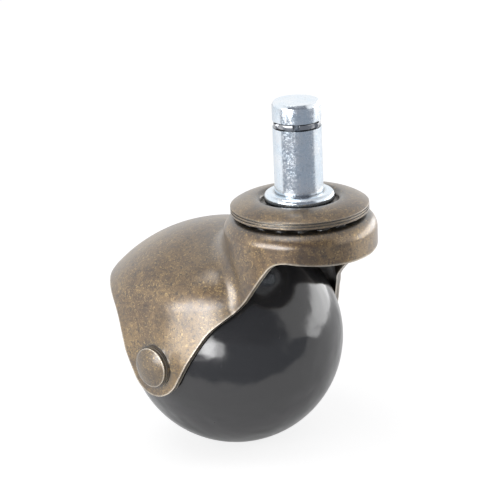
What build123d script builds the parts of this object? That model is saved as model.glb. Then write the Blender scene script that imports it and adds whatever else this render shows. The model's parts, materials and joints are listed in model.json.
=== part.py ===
from build123d import *
import os
from math import asin, cos, radians, sin, sqrt, tan

# Ball castor with a pressed hood. Millimetres, +Z up.
# The origin is on the stem's axis, in the plane of the collar's seating face.
# The hood trails toward -X, and the wheel turns about an axis parallel to Y.

# Stem and collar
overall_height = 85.0      # foot of the ball to the tip of the stem
stem_d = 11.0
tip_chamfer = 0.5
tip_chamfer_rise = 0.9
neck_drop = 5.85           # tip down to the lower edge of the grip ring's groove
neck_height = 1.6
neck_depth = 0.9
collar_d = 15.8
collar_height = 2.8
collar_edge_r = 1.1
shank_d = 9.0              # part of the stem that the hood turns on
rivet_end_d = 6.4          # thinner end, spread over the retaining washer
rivet_end_head_d = 10.4
rivet_end_head_height = 1.5

# Grip ring, a split spring ring with three outward bumps
ring_height = 1.1
ring_thickness = 0.55
ring_gap = 1.3
ring_side_play = 0.1       # between the ring and the foot of its groove
ring_bump_count = 3
ring_bump_rise = 0.45
ring_bump_r = 1.1
ring_gap_angle = -48.0     # direction of the split, seen from above

# Top cap, a dished pressing clamped under the collar
sheet = 1.2                # thickness of the hood and the cap
cap_margin = 1.7           # the turret stands out past the cap by this
cap_crest_drop = 1.2       # seating face down to the crest of the cap
cap_crest_share = 0.223    # place of the crest across the cap's band, from its recess
cap_crown_r = 9.0          # radius of the cap's domed section
cap_recess_edge_r = 1.1
cap_recess_gap = 0.75      # between the collar and the wall of the recess
cap_lip_height = 1.55
cap_groove_depth = 0.35
cap_groove_height = 0.3
cap_groove_share = 0.42    # height of the lower groove, as a share of the lip
cap_wall_lean = 0.5        # the recess wall leans out by this, seen from below
cap_roll = 1.05            # radius of the recess edge, as a share of its width

# Ball race between the cap and the hood's plate
race_out_share = 0.259     # crest out to the middle of the balls, as a share of the band
race_ball_share = 0.432    # diameter of a ball, as a share of the band
race_ball_count = 16
race_groove_depth = 0.5
race_clearance = 0.08      # over and under the balls

# Hood, one deep drawn pressing
hood_drop = 12.0           # seating face down to the top of the hood's dome
trail = 22.0               # stem's axis to wheel's axis, level
turret_d = 34.6
turret_shoulder_r = 3.4
turret_depth = 7.1         # plate down to the edge of the skirt
cup_clearance = 0.7        # ball to the cup's wall, at the ears
crown_clearance = 1.0      # ball to the dome above it
cup_stretch = 6.6          # the cup is this much longer than it is wide
cup_draft = 9.5            # degrees, above the ears
cup_draft_start = 2.0      # above the wheel's axis
crown_sink = 8.2           # centre of the cup's domed top, below the wheel's axis
crown_back = 2.8           # centre of the dome behind the wheel's axis
crown_edge_r = 12.0        # soft turn from the dome into the walls
crease_r = 5.0             # inside corner between the cup and the turret
ear_r = 7.1                # round foot of the ears
ear_taper = 28.0           # degrees from the vertical, both edges
ear_seat_d = 10.0          # flat pressed round the axle's hole
front_knee_share = 0.35    # front edge turns forward at this share of the skirt's height
front_slope = 46.0         # degrees above level, over the ball
front_turn_share = 0.66    # and turns up here, to the skirt
front_rise = 53.0          # degrees above level, up to the skirt
front_knee_r = 14.0
front_turn_r = 10.0
skirt_corner_r = 5.0
skirt_lift = 1.0           # the skirt's edge starts this much higher at that corner
skirt_fall = 0.6           # and ends this much lower at the turret's front
back_rim_share = 0.55      # back edge, as a share of the skirt's height
back_corner_r = 14.0

# Retaining washer under the hood's plate
washer_d = 17.0
washer_height = 1.2
swivel_play = 0.1          # between the plate and the washer
shank_clearance = 0.08     # round the shank, in the plate

# Wheel, bush and axle
ball_d = 50.0
pole_flat = 0.4            # cut off the ball at each end of its bore
axle_d = 5.0
axle_head_d = 9.1
axle_head_height = 1.9
axle_head_rim = 0.95
bush_d = 7.2
bush_clearance = 0.05
side_washer_clearance = 0.05
wheel_side_play = 0.1

# Places that follow from the sizes above
ball_r = ball_d / 2
axle_z = -(hood_drop + sheet + crown_clearance + ball_r)
axle_x = -trail
tip_z = overall_height - ball_r + axle_z
neck_z = tip_z - neck_drop
cup_r = ball_r + cup_clearance + sheet
crown_r = ball_r + crown_clearance + sheet + crown_sink
cap_crest_z = -cap_crest_drop
cap_d = turret_d - 2 * cap_margin
recess_r = collar_d / 2 + cap_recess_gap
cap_band = cap_d / 2 - recess_r
cap_crest_r = recess_r + cap_crest_share * cap_band
race_r = cap_crest_r + race_out_share * cap_band
race_ball_d = race_ball_share * cap_band
floor_top = -collar_height
floor_bottom = floor_top - sheet
race_reach = cap_crown_r - sheet - race_ball_d / 2 - race_clearance
race_z = cap_crest_z - cap_crown_r + sqrt(race_reach ** 2 - (race_r - cap_crest_r) ** 2)
plate_top = race_z - race_ball_d / 2 - race_clearance + race_groove_depth
plate_bottom = plate_top - sheet
washer_top = plate_bottom - swivel_play
washer_bottom = washer_top - washer_height
skirt_z = plate_top - turret_depth
skirt_rise = skirt_z - axle_z
crown_z = axle_z - crown_sink
crown_x = axle_x - crown_back
ear_outer = cup_r
ear_inner = cup_r - sheet
pole_y = ball_r - pole_flat
side_washer_t = ear_inner - pole_y - wheel_side_play
below_all = axle_z - 2 * ear_r
near = 0.02                # how close counts as lying on a surface

parts_dir = "parts"
os.makedirs(parts_dir, exist_ok=True)


def write(solid, name):
    """Writes one piece, as a single solid, under its own name."""
    solids = solid.solids()
    assert len(solids) == 1, (name, len(solids))
    piece = solids[0]
    piece.label = name
    export_step(piece, os.path.join(parts_dir, name + ".step"))


def turned(outline):
    """A body turned about the stem's axis, from a closed outline in X and Z."""
    return revolve(make_face(Plane.XZ * outline), Axis.Z)


def low_dome(radius, rim, top):
    """Half the section of a shallow dome, from its rim in to the axis."""
    height = top - rim
    sphere_r = (radius ** 2 + height ** 2) / (2 * abs(height))
    half = asin(radius / sphere_r) / 2
    drop = sphere_r * (1 - cos(half))
    middle = top - drop if height > 0 else top + drop
    return ThreePointArc((radius, rim), (sphere_r * sin(half), middle), (0, top))


def axle_rod(radius, y0, y1):
    """A round bar on the wheel's axis, from y0 to y1."""
    place = Pos(axle_x, (y0 + y1) / 2, axle_z) * Rot(90, 0, 0)
    return place * Cylinder(radius, abs(y1 - y0))


def make_stem():
    r = stem_d / 2
    shank_r = shank_d / 2
    collar_r = collar_d / 2
    neck_r = r - neck_depth
    end_r = rivet_end_d / 2
    head_r = rivet_end_head_d / 2
    head_rim_z = washer_bottom - rivet_end_head_height / 3
    head_foot_z = washer_bottom - rivet_end_head_height
    outline = Polyline(
        (0, head_foot_z),
        (0, tip_z),
        (r - tip_chamfer, tip_z),
        (r, tip_z - tip_chamfer_rise),
        (r, neck_z + neck_height),
        (neck_r, neck_z + neck_height),
        (neck_r, neck_z),
        (r, neck_z),
        (r, 0),
        (collar_r, 0),
        (collar_r, floor_top),
        (shank_r, floor_top),
        (shank_r, washer_top),
        (end_r, washer_top),
        (end_r, washer_bottom),
        (head_r, washer_bottom),
        (head_r, head_rim_z),
    )
    # The end of the stem, spread into a low dome over the washer
    body = turned(outline + low_dome(head_r, head_rim_z, head_foot_z))
    rims = body.edges().filter_by(GeomType.CIRCLE)
    collar_rims = rims.filter_by(lambda e: abs(e.radius - collar_r) < 1e-6)
    return fillet(collar_rims, collar_edge_r)


def make_grip_ring():
    inner = stem_d / 2 - neck_depth + ring_side_play
    outer = inner + ring_thickness
    ring = Circle(outer) - Circle(inner)
    bump_step = 360 / ring_bump_count
    for k in range(ring_bump_count):
        angle = ring_gap_angle + bump_step * (k + 0.5)
        centre = outer + ring_bump_rise - ring_bump_r
        ring += Rot(0, 0, angle) * Pos(centre, 0) * Circle(ring_bump_r)
    ring -= Circle(inner)
    ring -= Rot(0, 0, ring_gap_angle) * Pos(outer, 0) * Rectangle(outer, ring_gap)
    base = neck_z + (neck_height - ring_height) / 2
    return Pos(0, 0, base) * extrude(ring, ring_height)


def cap_profile_z(radius, depth):
    """Height of the cap's domed section at a radius, a depth under its outer face."""
    across = radius - cap_crest_r
    section_r = cap_crown_r - depth
    return cap_crest_z - cap_crown_r + sqrt(section_r ** 2 - across ** 2)


def make_top_cap():
    outer_r = cap_d / 2
    lip_top = cap_profile_z(outer_r, 0)
    lip_bottom = lip_top - cap_lip_height
    inner_r = outer_r - sheet
    hole_r = shank_d / 2
    mid_out = (cap_crest_r + outer_r) / 2
    mid_in = (cap_crest_r + inner_r) / 2
    roll_z = cap_crest_z - cap_recess_edge_r
    under = Polyline((hole_r, floor_top), (recess_r, floor_top), (recess_r, roll_z))
    roll = RadiusArc(
        (recess_r, roll_z),
        (cap_crest_r, cap_crest_z),
        (cap_crest_r - recess_r) * cap_roll,
    )
    dome = ThreePointArc(
        (cap_crest_r, cap_crest_z),
        (mid_out, cap_profile_z(mid_out, 0)),
        (outer_r, lip_top),
    )
    rim = Polyline((outer_r, lip_top), (outer_r, lip_bottom), (inner_r, lip_bottom))
    rim += Line((inner_r, lip_bottom), (inner_r, cap_profile_z(inner_r, sheet)))
    vault = ThreePointArc(
        (inner_r, cap_profile_z(inner_r, sheet)),
        (mid_in, cap_profile_z(mid_in, sheet)),
        (cap_crest_r, cap_crest_z - sheet),
    )
    inside = Polyline(
        (cap_crest_r, cap_crest_z - sheet),
        (cap_crest_r - cap_wall_lean, floor_bottom),
        (hole_r, floor_bottom),
        (hole_r, floor_top),
    )
    body = turned(under + roll + dome + rim + vault + inside)
    # Two fine grooves round the lip, where the edge is folded back
    for level in (lip_top - cap_groove_height, lip_bottom + cap_lip_height * cap_groove_share):
        groove = Cylinder(outer_r + sheet, cap_groove_height)
        groove -= Cylinder(outer_r - cap_groove_depth, cap_groove_height)
        body -= Pos(0, 0, level) * groove
    return body


def cup_outline(radius):
    """The cup in plan: two half circles, drawn apart by the stretch."""
    front = Pos(axle_x, 0) * Circle(radius)
    back = Pos(axle_x - cup_stretch, 0) * Circle(radius)
    middle = Pos(axle_x - cup_stretch / 2, 0) * Rectangle(cup_stretch, 2 * radius)
    return front + back + middle


def cup_block(inset):
    """The cup as a filled block, every face moved in by the inset."""
    radius = cup_r - inset
    dome_r = crown_r - inset
    start = axle_z + cup_draft_start
    rise = crown_r - crown_sink
    drafted = Pos(0, 0, start) * extrude(cup_outline(radius), rise, taper=cup_draft)
    upright = Pos(0, 0, below_all) * extrude(cup_outline(radius), start - below_all)
    walls = upright + drafted
    front_x = axle_x + 2 * cup_r
    back_x = crown_x - dome_r
    diagonal = dome_r * sin(radians(45))
    outline = Polyline((crown_x, dome_r), (front_x, dome_r), (front_x, 0), (back_x, 0))
    outline += ThreePointArc((back_x, 0), (crown_x - diagonal, diagonal), (crown_x, dome_r))
    bullet = Pos(0, 0, crown_z) * revolve(make_face(outline), Axis.X)
    block = walls & bullet
    top = block.edges().filter_by(lambda e: is_crown_edge(e, dome_r))
    return fillet(top, crown_edge_r - inset)


def is_crown_edge(edge, dome_r):
    """True for an edge that lies between the dome and a wall."""
    kinds = []
    for share in (0.1, 0.5, 0.9):
        p = edge.position_at(share)
        if p.X < crown_x:
            reach = sqrt((p.X - crown_x) ** 2 + p.Y ** 2 + (p.Z - crown_z) ** 2)
        else:
            reach = sqrt(p.Y ** 2 + (p.Z - crown_z) ** 2)
        on_dome = abs(reach - dome_r) < near
        r_start = cup_r - (crown_r - dome_r)
        inside = r_start - (p.Z - axle_z - cup_draft_start) * tan(radians(cup_draft))
        across = abs(p.Y)
        if p.X > axle_x:
            across = sqrt((p.X - axle_x) ** 2 + p.Y ** 2)
        if p.X < axle_x - cup_stretch:
            across = sqrt((p.X - axle_x + cup_stretch) ** 2 + p.Y ** 2)
        on_wall = abs(across - inside) < near
        kinds.append(on_dome and on_wall)
    return all(kinds)


def turret_block(inset):
    """The round turret as a filled block, with its rounded shoulder."""
    height = plate_top - inset - below_all
    block = Pos(0, 0, below_all + height / 2) * Cylinder(turret_d / 2 - inset, height)
    top = block.edges().group_by(Axis.Z)[-1]
    return fillet(top, turret_shoulder_r - inset)


def hood_block(inset):
    """Cup and turret run together, with the inside corner between them rounded."""
    block = cup_block(inset) + turret_block(inset)
    turret_r = turret_d / 2 - inset
    crease = block.edges().filter_by(lambda e: on_turret_wall(e, turret_r))
    return fillet(crease, crease_r + inset)


def on_turret_wall(edge, turret_r):
    """True for an edge that lies on the turret's wall, clear of its two ends."""
    for share in (0.1, 0.5, 0.9):
        p = edge.position_at(share)
        if abs(sqrt(p.X ** 2 + p.Y ** 2) - turret_r) > near:
            return False
    c = edge.position_at(0.5)
    seam = edge.geom_type == GeomType.LINE and abs(c.Y) < near
    return below_all + near < c.Z < plate_top - turret_shoulder_r - near and not seam


def side_outline():
    """The hood from the side: what is left between the cut edges, above the ears' feet."""
    lean = radians(ear_taper)
    foot_x = ear_r * cos(lean)
    foot_z = axle_z - ear_r * sin(lean)
    knee_z = axle_z + front_knee_share * skirt_rise
    knee_x = axle_x + foot_x + (knee_z - foot_z) * tan(lean)
    turn_z = axle_z + front_turn_share * skirt_rise
    turn_x = knee_x + (turn_z - knee_z) / tan(radians(front_slope))
    corner_z = skirt_z + skirt_lift
    corner_x = turn_x + (corner_z - turn_z) / tan(radians(front_rise))
    front_x = turret_d
    fall = (skirt_lift + skirt_fall) / (turret_d / 2 - corner_x)
    front_z = corner_z - fall * (front_x - corner_x)
    rim_z = axle_z + back_rim_share * skirt_rise
    rim_x = axle_x - foot_x - (rim_z - foot_z) * tan(lean)
    back_x = axle_x - cup_stretch - 2 * cup_r
    path = FilletPolyline(
        (axle_x + foot_x, foot_z),
        (knee_x, knee_z),
        (turn_x, turn_z),
        (corner_x, corner_z),
        (front_x, front_z),
        radius=[front_knee_r, front_turn_r, skirt_corner_r],
    )
    over = Polyline((front_x, front_z), (front_x, sheet), (back_x, sheet), (back_x, rim_z))
    back = FilletPolyline(
        (back_x, rim_z),
        (rim_x, rim_z),
        (axle_x - foot_x, foot_z),
        radius=back_corner_r,
    )
    foot = ThreePointArc(
        (axle_x - foot_x, foot_z),
        (axle_x, axle_z - ear_r),
        (axle_x + foot_x, foot_z),
    )
    return path + over + back + foot


def make_hood():
    outer = hood_block(0)
    inner = hood_block(sheet)
    for side in (-1, 1):
        outer += axle_rod(ear_seat_d / 2, side * (ear_inner - sheet), side * ear_outer)
        inner += axle_rod(ear_seat_d / 2, side * (ear_inner - 2 * sheet), side * ear_inner)
        inner -= axle_rod(ear_seat_d / 2, side * ear_inner, side * (ear_outer + sheet))
    shell = outer - inner
    side_face = make_face(Plane.XZ * side_outline())
    shell &= extrude(side_face, cup_r * 2, both=True)
    shell -= axle_rod(axle_d / 2, -cup_r * 2, cup_r * 2)
    bore = shank_d / 2 + shank_clearance
    shell -= Pos(0, 0, plate_top) * Cylinder(bore, 4 * sheet)
    groove_r = race_ball_d / 2 + race_clearance
    shell -= Pos(0, 0, race_z) * Torus(race_r, groove_r)
    return shell


def make_retaining_washer():
    outline = Circle(washer_d / 2) - Circle(rivet_end_d / 2)
    return Pos(0, 0, washer_bottom) * extrude(outline, washer_height)


def make_race_ball(index):
    angle = 360 / race_ball_count * index
    return Rot(0, 0, angle) * Pos(race_r, 0, race_z) * Sphere(race_ball_d / 2)


def make_axle():
    """The axle rivet: a bar through both ears with a shallow domed head at each end."""
    r = axle_head_d / 2
    rim = ear_outer + axle_head_rim
    end = ear_outer + axle_head_height
    outline = Polyline(
        (r, -rim),
        (r, -ear_outer),
        (axle_d / 2, -ear_outer),
        (axle_d / 2, ear_outer),
        (r, ear_outer),
        (r, rim),
    )
    outline += low_dome(r, rim, end)
    outline += Line((0, end), (0, -end))
    outline += low_dome(r, -rim, -end)
    return Pos(axle_x, 0, axle_z) * revolve(make_face(outline), Axis.Y)


def make_ball_wheel():
    ball = Pos(axle_x, 0, axle_z) * Sphere(ball_r)
    band = Pos(axle_x, 0, axle_z) * Box(ball_d, 2 * pole_y, ball_d)
    return (ball & band) - axle_rod(bush_d / 2, -ball_r, ball_r)


def make_bush():
    bore = axle_d / 2 + bush_clearance
    return axle_rod(bush_d / 2, -pole_y, pole_y) - axle_rod(bore, -ball_r, ball_r)


def make_side_washer(side):
    flat_r = sqrt(ball_r ** 2 - pole_y ** 2)
    disc = axle_rod(flat_r, side * (ear_inner - side_washer_t), side * ear_inner)
    return disc - axle_rod(axle_d / 2 + side_washer_clearance, -cup_r, cup_r)


write(make_stem(), "stem")
write(make_grip_ring(), "grip_ring")
write(make_top_cap(), "top_cap")
for index in range(race_ball_count):
    write(make_race_ball(index), f"race_ball_{index + 1:02d}")
write(make_hood(), "hood")
write(make_retaining_washer(), "retaining_washer")
write(make_axle(), "axle_rivet")
write(make_ball_wheel(), "ball_wheel")
write(make_bush(), "wheel_bush")
write(make_side_washer(1), "side_washer_left")
write(make_side_washer(-1), "side_washer_right")
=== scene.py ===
import json
import math

import bpy
from mathutils import Matrix, Vector


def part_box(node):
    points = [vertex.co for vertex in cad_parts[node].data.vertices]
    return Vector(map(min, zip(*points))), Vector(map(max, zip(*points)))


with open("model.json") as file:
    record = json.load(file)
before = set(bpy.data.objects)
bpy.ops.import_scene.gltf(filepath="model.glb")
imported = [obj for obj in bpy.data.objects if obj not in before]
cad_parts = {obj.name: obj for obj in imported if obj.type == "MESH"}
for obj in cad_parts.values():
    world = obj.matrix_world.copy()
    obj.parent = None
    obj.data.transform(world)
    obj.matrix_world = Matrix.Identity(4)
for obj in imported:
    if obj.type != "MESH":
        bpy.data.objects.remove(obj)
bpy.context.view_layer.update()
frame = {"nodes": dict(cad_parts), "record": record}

# Ball castor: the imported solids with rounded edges, procedural finishes, a white stage and
# a camera at the photograph's angle. Metres.

MM = 0.001


def joint_place(name):
    """A point on a joint's axis, as the frame gives it."""
    joints = frame["record"]["behaviour"]["joints"]
    return next(Vector(joint["pos_m"]) for joint in joints if joint["name"] == name)


nodes = frame["nodes"]
scene = bpy.context.scene
scene.view_settings.view_transform = "Standard"

BALL_CENTRE = joint_place("wheel_roll")      # the axle runs through it

# Camera, solved from the ball's outline, the stem and the rivet's head
TURN = math.radians(44.9)          # the castor's heading against the picture plane
PITCH = math.radians(17.82)
ROLL = math.radians(2.44)
BALL_AHEAD = 638.5 * MM            # the ball's centre in the camera's axes, before the roll
BALL_RIGHT = -1.9 * MM
BALL_UP = -22.0 * MM
FOCAL_PX = 2738.0
IMAGE_PX = 480
SENSOR = 36.0
CLIP_NEAR = 0.01
CLIP_FAR = 20


def from_picture(to_right, away, rise):
    """A direction given as right, away and up in the picture's level frame."""
    c = math.cos(TURN)
    s = math.sin(TURN)
    return Vector((c * to_right - s * away, s * to_right + c * away, rise))


def place_camera():
    """The scene's camera, turned about its own line of sight by ROLL."""
    right = from_picture(1, 0, 0)
    up = from_picture(0, math.sin(PITCH), math.cos(PITCH))
    forward = from_picture(0, math.cos(PITCH), -math.sin(PITCH))
    eye = BALL_CENTRE - BALL_RIGHT * right - BALL_UP * up - BALL_AHEAD * forward
    rolled_right = math.cos(ROLL) * right - math.sin(ROLL) * up
    rolled_up = math.sin(ROLL) * right + math.cos(ROLL) * up
    data = bpy.data.cameras.new("camera")
    data.sensor_width = SENSOR
    data.lens = FOCAL_PX * SENSOR / IMAGE_PX
    data.clip_start = CLIP_NEAR
    data.clip_end = CLIP_FAR
    camera = bpy.data.objects.new("camera", data)
    scene.collection.objects.link(camera)
    axes = Matrix((rolled_right, rolled_up, -forward)).transposed()
    camera.matrix_world = Matrix.Translation(eye) @ axes.to_4x4()
    scene.camera = camera


place_camera()


class Shader:
    """A node tree with short calls for its nodes and links."""

    # Places of the colour sockets on a mix node
    MIX_SHARE = 0
    MIX_A = 6
    MIX_B = 7
    MIX_RESULT = 2

    # Rubbed wear and a painted edge highlight show where the rounded normal leaves the plain one:
    # the cosine between the two
    EDGE_PALEST = 0.88
    EDGE_WHOLE = 0.985
    EDGE_SAMPLES = 6
    RECESS_SAMPLES = 8

    def __init__(self, tree):
        self.tree = tree
        tree.nodes.clear()

    def node(self, kind, **settings):
        """Adds a node and sets its own properties."""
        made = self.tree.nodes.new(kind)
        for key, value in settings.items():
            setattr(made, key, value)
        return made

    def put(self, target, value):
        """Links an output to a socket, or sets the socket's own value."""
        if isinstance(value, bpy.types.NodeSocket):
            self.tree.links.new(value, target)
        else:
            target.default_value = value

    def coords(self):
        return self.node("ShaderNodeTexCoord").outputs["Object"]

    def noise(self, at, scale, detail, rough, distortion=0.0):
        made = self.node("ShaderNodeTexNoise")
        self.put(made.inputs["Vector"], at)
        self.put(made.inputs["Scale"], scale)
        self.put(made.inputs["Detail"], detail)
        self.put(made.inputs["Roughness"], rough)
        self.put(made.inputs["Distortion"], distortion)
        return made.outputs["Fac"]

    def stretched(self, at, factors, turn=(0, 0, 0)):
        """Coordinates scaled and turned, so that a noise on them runs in streaks."""
        made = self.node("ShaderNodeMapping")
        self.put(made.inputs["Vector"], at)
        self.put(made.inputs["Scale"], factors)
        self.put(made.inputs["Rotation"], turn)
        return made.outputs["Vector"]

    def ramp(self, value, start, end, low=0.0, high=1.0):
        """A smooth ramp: low where the value is start, and high where it is end. start may be
        the larger of the two."""
        made = self.node("ShaderNodeMapRange", interpolation_type="SMOOTHSTEP")
        self.put(made.inputs["Value"], value)
        self.put(made.inputs["From Min"], start)
        self.put(made.inputs["From Max"], end)
        self.put(made.inputs["To Min"], low)
        self.put(made.inputs["To Max"], high)
        return made.outputs["Result"]

    def math(self, kind, a, b=0.0):
        made = self.node("ShaderNodeMath", operation=kind)
        self.put(made.inputs[0], a)
        self.put(made.inputs[1], b)
        return made.outputs[0]

    def vector(self, kind, a, b, result="Vector"):
        made = self.node("ShaderNodeVectorMath", operation=kind)
        self.put(made.inputs[0], a)
        self.put(made.inputs[1], b)
        return made.outputs[result]

    def mix(self, share, a, b):
        """A mix of two colours."""
        made = self.node("ShaderNodeMix", data_type="RGBA")
        self.put(made.inputs[self.MIX_SHARE], share)
        self.put(made.inputs[self.MIX_A], a)
        self.put(made.inputs[self.MIX_B], b)
        return made.outputs[self.MIX_RESULT]

    def laid(self, base, colour, strength, mask):
        """Lays a colour over the base where the mask is, at most at the strength given."""
        return self.mix(self.math("MULTIPLY", mask, strength), base, colour)

    def bump(self, height, strength, distance, normal=None):
        made = self.node("ShaderNodeBump")
        self.put(made.inputs["Height"], height)
        self.put(made.inputs["Strength"], strength)
        self.put(made.inputs["Distance"], distance)
        if normal is not None:
            self.put(made.inputs["Normal"], normal)
        return made.outputs["Normal"]

    def edge(self, reach):
        """1 along the edges, as far in as the rubbed wear and painted edge highlight reach, and 0
        elsewhere.
        """
        rounded = self.node("ShaderNodeBevel", samples=self.EDGE_SAMPLES)
        self.put(rounded.inputs["Radius"], reach)
        plain = self.node("ShaderNodeNewGeometry").outputs["Normal"]
        same = self.vector("DOT_PRODUCT", rounded.outputs["Normal"], plain, "Value")
        return self.ramp(same, self.EDGE_WHOLE, self.EDGE_PALEST)

    def recess(self, reach, open_share, deep_share):
        """0 on open faces and 1 deep in inside corners, by the share of the surroundings
        that is open within the reach."""
        opening = self.node("ShaderNodeAmbientOcclusion", samples=self.RECESS_SAMPLES)
        self.put(opening.inputs["Distance"], reach)
        return self.ramp(opening.outputs["AO"], open_share, deep_share)

    def principled(self, **sockets):
        made = self.node("ShaderNodeBsdfPrincipled")
        for key, value in sockets.items():
            self.put(made.inputs[key.replace("_", " ")], value)
        self.surface(made.outputs["BSDF"])

    def surface(self, shader):
        """Ends the material with this shader."""
        output = self.node("ShaderNodeOutputMaterial")
        self.tree.links.new(shader, output.inputs["Surface"])

    def blended(self, share, a, b):
        """A mix of two shaders."""
        made = self.node("ShaderNodeMixShader")
        self.put(made.inputs[0], share)
        self.tree.links.new(a, made.inputs[1])
        self.tree.links.new(b, made.inputs[2])
        return made.outputs[0]

    def glow(self, colour, strength=1.0):
        made = self.node("ShaderNodeEmission")
        self.put(made.inputs["Color"], colour)
        self.put(made.inputs["Strength"], strength)
        return made.outputs[0]

    def lit(self, albedo, glow):
        """A grey diffuse surface with an even glow added."""
        diffuse = self.node("ShaderNodeBsdfDiffuse")
        self.put(diffuse.inputs["Color"], rgb(albedo, albedo, albedo))
        both = self.node("ShaderNodeAddShader")
        self.tree.links.new(diffuse.outputs[0], both.inputs[0])
        self.tree.links.new(self.glow(WHITE, glow), both.inputs[1])
        return both.outputs[0]


def material(name):
    """A new material and the shader calls for its tree."""
    made = bpy.data.materials.new(name)
    made.use_nodes = True
    return made, Shader(made.node_tree)


def rgb(red, green, blue):
    return (red, green, blue, 1.0)


WHITE = rgb(1, 1, 1)

# Antique brass, from the brown ground to the bare metal
BROWN = rgb(0.12, 0.067, 0.027)
BRONZE = rgb(0.215, 0.132, 0.049)
OCHRE = rgb(0.3, 0.195, 0.08)
SEPIA = rgb(0.075, 0.043, 0.021)
STRAW = rgb(0.32, 0.21, 0.088)
UMBER = rgb(0.065, 0.041, 0.022)
DARK_UMBER = rgb(0.04, 0.025, 0.014)
# Dark grey in inside corners and under the cap: tarnish, and painted shade
TARNISH_AND_SHADE = rgb(0.052, 0.046, 0.042)
# Painted shade for tight creases
PAINTED_CREASE_SHADE = rgb(0.03, 0.026, 0.023)
GOLD = rgb(0.66, 0.47, 0.2)
# Pale edges: rubbed wear, and a painted highlight along the rims
RUBBED_AND_HIGHLIT = rgb(0.85, 0.77, 0.64)

CORNER_REACH = 22 * MM             # how far the tarnish and painted shade spread out of corners
CREASE_REACH = 7 * MM              # how far the painted crease shade spreads
HOOD_SEAT_R = 6.2 * MM             # the flat seats round the rivet, where the hood has neither rubbed wear nor a painted edge highlight
SEAT_FADE = 0.4 * MM


def antique_brass(name, worn_and_highlit_reach, worn_and_highlit_share, tarnished=0.0, seat_r=0.0):
    """Brown plated brass under a clear coat: mottled, flecked with gold, dark with tarnish and
    painted shade in its inside corners and with painted shade in its creases, and pale along its
    edges with rubbed wear and a painted highlight, as far in as worn_and_highlit_reach and no
    nearer to the axle than seat_r. tarnished is the least tarnish anywhere."""
    made, s = material(name)
    at = s.coords()
    cloud = s.noise(at, scale=55, detail=3, rough=0.5)
    patch = s.noise(at, scale=190, detail=5, rough=0.6, distortion=0.6)
    mottle = s.noise(at, scale=620, detail=6, rough=0.7, distortion=0.3)
    grain = s.noise(at, scale=1500, detail=2, rough=0.6, distortion=0.8)
    fleck = s.noise(at, scale=2300, detail=2, rough=0.6, distortion=1.0)

    base = s.mix(s.ramp(cloud, 0.38, 0.62), BROWN, BRONZE)
    base = s.laid(base, OCHRE, strength=0.35, mask=s.ramp(patch, 0.5, 0.66))
    base = s.laid(base, SEPIA, strength=0.6, mask=s.ramp(patch, 0.48, 0.34))
    base = s.laid(base, STRAW, strength=0.4, mask=s.ramp(mottle, 0.47, 0.62))
    base = s.laid(base, UMBER, strength=0.5, mask=s.ramp(mottle, 0.47, 0.37))
    base = s.laid(base, DARK_UMBER, strength=0.75, mask=s.ramp(grain, 0.47, 0.35))

    # Tarnish and painted shade in the inside corners, by how enclosed each point is
    corner = s.recess(CORNER_REACH, open_share=0.98, deep_share=0.68)
    base = s.laid(base, TARNISH_AND_SHADE, strength=0.85, mask=s.math("MAXIMUM", corner, tarnished))
    # Painted shade in the tight creases, such as between the cup and the turret
    crease = s.recess(CREASE_REACH, open_share=0.97, deep_share=0.8)
    base = s.laid(base, PAINTED_CREASE_SHADE, strength=0.5, mask=crease)

    fleck_share = s.ramp(patch, 0.36, 0.56, low=0.35)
    flecks = s.math("MULTIPLY", s.ramp(fleck, 0.55, 0.66), fleck_share)
    base = s.laid(base, GOLD, strength=0.55, mask=flecks)

    across_axle = s.vector("MULTIPLY", s.vector("SUBTRACT", at, BALL_CENTRE), (1, 0, 1))
    from_axle = s.vector("LENGTH", across_axle, (0, 0, 0), "Value")
    off_seat = s.ramp(from_axle, seat_r, seat_r + SEAT_FADE)
    # Pale edges: rubbed wear, and a painted highlight along the rims
    edge = s.math("MULTIPLY", s.edge(worn_and_highlit_reach), off_seat)
    worn_and_highlit = s.math("MULTIPLY", edge, s.ramp(patch, 0.35, 0.5, low=0.5))
    base = s.laid(base, RUBBED_AND_HIGHLIT, strength=worn_and_highlit_share, mask=worn_and_highlit)

    bare = s.math("MAXIMUM", flecks, worn_and_highlit)
    normal = s.bump(mottle, strength=0.2, distance=0.06 * MM)
    normal = s.bump(grain, strength=0.3, distance=0.04 * MM, normal=normal)
    s.principled(Base_Color=base, Metallic=s.ramp(bare, 0, 1, low=0.75),
                 Roughness=s.ramp(mottle, 0.3, 0.7, low=0.44, high=0.58), Normal=normal,
                 Coat_Weight=1.0, Coat_Roughness=0.28, Coat_IOR=1.9, Coat_Normal=normal)
    return made


ZINC_BLUE = rgb(0.78, 0.88, 0.97)
ZINC_PALE = rgb(0.88, 0.93, 0.98)
ZINC_SPECK = rgb(0.4, 0.46, 0.54)
ZINC_SCRATCH = rgb(0.96, 0.97, 0.98)
ZINC_SHADE = rgb(0.06, 0.066, 0.078)
GROOVE_REACH = 1.6 * MM


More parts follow.
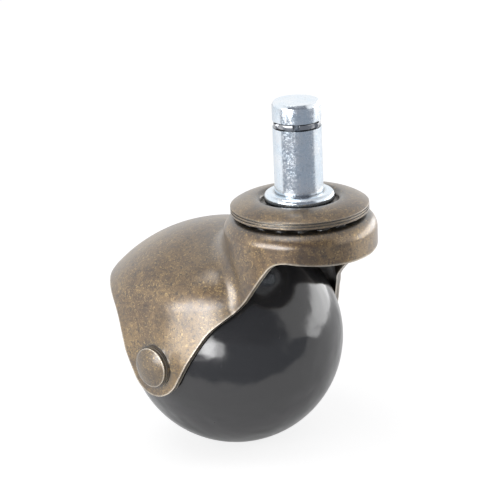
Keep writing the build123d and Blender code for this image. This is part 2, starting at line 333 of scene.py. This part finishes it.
def bright_zinc():
    """Bright plated steel: speckled, finely scratched, with painted shade in its groove, and with
    faint turning lines."""
    made, s = material("bright_zinc")
    at = s.coords()
    slanted = s.stretched(at, factors=(1, 1, 0.2), turn=(0.5, 0.3, 0.2))
    round_stem = s.stretched(at, factors=(0.02, 0.02, 1))
    cloud = s.noise(at, scale=260, detail=4, rough=0.65)
    speckle = s.noise(at, scale=1500, detail=4, rough=0.7, distortion=0.5)
    scratch = s.noise(slanted, scale=2600, detail=2, rough=0.7, distortion=1.2)
    turned = s.noise(round_stem, scale=5200, detail=2, rough=0.5)

    base = s.mix(s.ramp(cloud, 0.35, 0.65), ZINC_BLUE, ZINC_PALE)
    base = s.laid(base, ZINC_SPECK, strength=0.35, mask=s.ramp(speckle, 0.45, 0.33))
    base = s.laid(base, ZINC_SCRATCH, strength=0.5, mask=s.ramp(scratch, 0.56, 0.66))
    # Painted shade in the groove under the stem's head
    groove = s.recess(GROOVE_REACH, open_share=0.8, deep_share=0.4)
    base = s.laid(base, ZINC_SHADE, strength=0.85, mask=groove)

    normal = s.bump(speckle, strength=0.18, distance=0.05 * MM)
    normal = s.bump(scratch, strength=0.14, distance=0.04 * MM, normal=normal)
    normal = s.bump(turned, strength=0.06, distance=0.02 * MM, normal=normal)
    s.principled(Base_Color=base, Metallic=1.0,
                 Roughness=s.ramp(speckle, 0.35, 0.68, low=0.12, high=0.3), Normal=normal)
    return made


def steel(name, dark, light, smoothest, roughest):
    """Plain steel with a slight variation of colour and gloss."""
    made, s = material(name)
    at = s.coords()
    cloud = s.noise(at, scale=300, detail=4, rough=0.6)
    fine = s.noise(at, scale=2400, detail=2, rough=0.6)
    s.principled(Base_Color=s.mix(cloud, dark, light), Metallic=1.0,
                 Roughness=s.ramp(cloud, 0.3, 0.7, low=smoothest, high=roughest),
                 Normal=s.bump(fine, strength=0.1, distance=0.03 * MM))
    return made


BLACK = rgb(0.018, 0.018, 0.019)
SOFT_BLACK = rgb(0.026, 0.026, 0.028)


def black_plastic():
    """Glossy black moulding with faint waves, a slight haze and a few hairline marks."""
    made, s = material("black_plastic")
    at = s.coords()
    slanted = s.stretched(at, factors=(1, 1, 0.12), turn=(0.9, 0.4, 0.2))
    cloud = s.noise(at, scale=60, detail=3, rough=0.6)
    wave = s.noise(at, scale=100, detail=1.5, rough=0.5, distortion=0.3)
    haze = s.noise(at, scale=700, detail=3, rough=0.6)
    mark = s.noise(slanted, scale=900, detail=2, rough=0.8, distortion=1.5)
    hazed = s.ramp(haze, 0.3, 0.7, low=0.12, high=0.18)
    marked = s.ramp(mark, 0.66, 0.72, high=0.12)
    s.principled(Base_Color=s.mix(cloud, BLACK, SOFT_BLACK), Roughness=s.math("ADD", hazed, marked),
                 IOR=1.7, Normal=s.bump(wave, strength=0.6, distance=1.0 * MM))
    return made


IVORY_DARK = rgb(0.6, 0.59, 0.55)
IVORY = rgb(0.72, 0.71, 0.67)


def natural_plastic():
    """Off-white moulding, slightly uneven."""
    made, s = material("bush_plastic")
    cloud = s.noise(s.coords(), scale=250, detail=3, rough=0.6)
    s.principled(Base_Color=s.mix(cloud, IVORY_DARK, IVORY),
                 Roughness=s.ramp(cloud, 0.3, 0.7, low=0.36, high=0.5),
                 Normal=s.bump(cloud, strength=0.1, distance=0.1 * MM))
    return made


# One finish for each material slot of the record
FINISHES = {
    "antique_brass": antique_brass(
        "antique_brass", worn_and_highlit_reach=0.4 * MM, worn_and_highlit_share=0.35, tarnished=0.2),
    "bright_zinc": bright_zinc(),
    "spring_steel": steel(
        "spring_steel", rgb(0.3, 0.31, 0.33), rgb(0.6, 0.61, 0.63), smoothest=0.16, roughest=0.3),
    "washer_steel": steel(
        "washer_steel", rgb(0.5, 0.51, 0.52), rgb(0.68, 0.69, 0.7), smoothest=0.25, roughest=0.4),
    "race_steel": steel(
        "race_steel", rgb(0.6, 0.61, 0.63), rgb(0.74, 0.75, 0.77), smoothest=0.05, roughest=0.1),
    "black_plastic": black_plastic(),
    "bush_plastic": natural_plastic(),
}
for part in frame["record"]["subparts"]:
    materials = nodes[part["node"]].data.materials
    materials.clear()
    materials.append(FINISHES[part["material_slot"]])

# The hood and the rivet have the same brass, with a wider and paler rubbed edge that is partly a
# painted highlight
nodes["hood"].data.materials[0] = antique_brass(
    "hood_brass", worn_and_highlit_reach=0.9 * MM, worn_and_highlit_share=0.9, seat_r=HOOD_SEAT_R)
nodes["axle_rivet"].data.materials[0] = antique_brass(
    "rivet_brass", worn_and_highlit_reach=0.7 * MM, worn_and_highlit_share=1.0, tarnished=0.55)

EDGE_WIDTHS = {
    "hood": 0.28 * MM,
    "top_cap": 0.1 * MM,
    "stem": 0.12 * MM,
    "grip_ring": 0.12 * MM,
    "ball_wheel": 0.2 * MM,
}
EDGE_STEPS = 3
SHARP_ANGLE = math.radians(35)
SAME_POINT = 0.001 * MM


def round_edges(node, width):
    """Rounds a piece's sharp edges, as a press, a lathe or a mould leaves them."""
    node.modifiers.new("weld", "WELD").merge_threshold = SAME_POINT
    bevel = node.modifiers.new("round", "BEVEL")
    bevel.width = width
    bevel.segments = EDGE_STEPS
    bevel.limit_method = "ANGLE"
    bevel.angle_limit = SHARP_ANGLE
    bevel.miter_outer = "MITER_ARC"
    node.modifiers.new("shading", "WEIGHTED_NORMAL").keep_sharp = True


for piece, edge_width in EDGE_WIDTHS.items():
    round_edges(nodes[piece], edge_width)

# Stage: a white floor and surround. Mirrors see the grey of the room on the side that the
# photograph is taken from: above the floor, within a sector, and past the straight end of
# the white floor.
ROOM_HEADING = from_picture(0, -1, 0)
ROOM_EDGE = math.cos(math.radians(55))
ROOM_EDGE_FADE = 0.05
ROOM_LOW = rgb(0.3, 0.32, 0.36)
ROOM_HIGH = rgb(0.2, 0.21, 0.24)
FLOOR_HALF = 1.5
WHITE_END = 57 * MM                # from the ball's centre towards the camera
WHITE_FADE = 4 * MM
FLOOR_ALBEDO = 0.86
FLOOR_GLOW_IN_MIRRORS = 0.2
SEEN_ALBEDO = 0.34                 # the floor as the camera sees it: shadows stay, paler
SEEN_GLOW = 0.8


def floor_white():
    """White to the camera and in mirrors, and grey in mirrors past its straight end."""
    made, s = material("floor_white")
    ray = s.node("ShaderNodeLightPath").outputs
    place = s.vector("SUBTRACT", s.coords(), BALL_CENTRE)
    nearer = s.vector("DOT_PRODUCT", place, ROOM_HEADING, "Value")
    past_end = s.ramp(nearer, WHITE_END - WHITE_FADE, WHITE_END + WHITE_FADE)
    bright = s.lit(FLOOR_ALBEDO, FLOOR_GLOW_IN_MIRRORS)
    mirrored = s.blended(past_end, bright, s.glow(ROOM_LOW))
    unseen = s.blended(ray["Is Glossy Ray"], s.lit(FLOOR_ALBEDO, 0.0), mirrored)
    s.surface(s.blended(ray["Is Camera Ray"], unseen, s.lit(SEEN_ALBEDO, SEEN_GLOW)))
    return made


def lay_floor():
    """A square floor under the ball's lowest point."""
    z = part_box("ball_wheel")[0].z
    h = FLOOR_HALF
    mesh = bpy.data.meshes.new("floor")
    mesh.from_pydata([(-h, -h, z), (h, -h, z), (h, h, z), (-h, h, z)], [], [(0, 1, 2, 3)])
    mesh.materials.append(floor_white())
    floor = bpy.data.objects.new("floor", mesh)
    scene.collection.objects.link(floor)


lay_floor()

# Heights on the sky's unit sphere, and the colours there
ROOM_TOP = 0.72
ROOM_TOP_END = 0.85
ROOM_DARKEST = 0.2
CEILING_START = 0.5
CEILING_END = 0.82
CEILING = rgb(0.62, 0.62, 0.63)
DAYLIGHT = rgb(0.5, 0.5, 0.51)


def light_world():
    """White to the camera, an even daylight on all surfaces, and in mirrors the grey room
    within its sector, and elsewhere white walls under a light grey ceiling."""
    world = bpy.data.worlds.new("world")
    scene.world = world
    world.use_nodes = True
    s = Shader(world.node_tree)
    ray = s.node("ShaderNodeLightPath").outputs
    at = s.node("ShaderNodeTexCoord").outputs["Generated"]
    split = s.node("ShaderNodeSeparateXYZ")
    s.put(split.inputs[0], at)
    z = split.outputs["Z"]
    level_run = s.math("SQRT", s.math("SUBTRACT", 1.0, s.math("MULTIPLY", z, z)))
    facing = s.math("DIVIDE", s.vector("DOT_PRODUCT", at, ROOM_HEADING, "Value"), level_run)
    sector = s.ramp(facing, ROOM_EDGE - ROOM_EDGE_FADE, ROOM_EDGE + ROOM_EDGE_FADE)
    room = s.math("MULTIPLY", sector, s.ramp(z, ROOM_TOP_END, ROOM_TOP))
    grey = s.mix(s.ramp(z, 0.0, ROOM_DARKEST), ROOM_LOW, ROOM_HIGH)
    pale = s.mix(s.ramp(z, CEILING_START, CEILING_END), WHITE, CEILING)
    mirrored = s.mix(room, pale, grey)
    unseen = s.mix(ray["Is Glossy Ray"], DAYLIGHT, mirrored)
    seen = s.math("MAXIMUM", ray["Is Camera Ray"], ray["Is Transmission Ray"])
    background = s.node("ShaderNodeBackground")
    s.put(background.inputs["Color"], s.mix(seen, unseen, WHITE))
    output = s.node("ShaderNodeOutputWorld")
    s.tree.links.new(background.outputs[0], output.inputs["Surface"])


light_world()

LAMP_REACH = 0.6


def soft_light(name, heading, rise, width, height, power):
    """A soft light aimed at the ball, placed by its heading to the right of the camera's and
    its rise, both in degrees."""
    data = bpy.data.lights.new(name, "AREA")
    data.shape = "ELLIPSE"
    data.size = width
    data.size_y = height
    data.energy = power
    lamp = bpy.data.objects.new(name, data)
    scene.collection.objects.link(lamp)
    h = math.radians(heading)
    v = math.radians(rise)
    run = from_picture(math.sin(h) * math.cos(v), -math.cos(h) * math.cos(v), math.sin(v))
    aim = (-run).to_track_quat("-Z", "Y").to_matrix().to_4x4()
    lamp.matrix_world = Matrix.Translation(BALL_CENTRE + run * LAMP_REACH) @ aim


soft_light("key_light", heading=-46, rise=5, width=0.5, height=0.38, power=2.8)
soft_light("key_core", heading=-24, rise=4, width=0.24, height=0.2, power=0.55)
soft_light("side_light", heading=118, rise=4, width=0.8, height=0.36, power=2.0)
soft_light("top_light", heading=-50, rise=70, width=0.4, height=0.34, power=0.8)
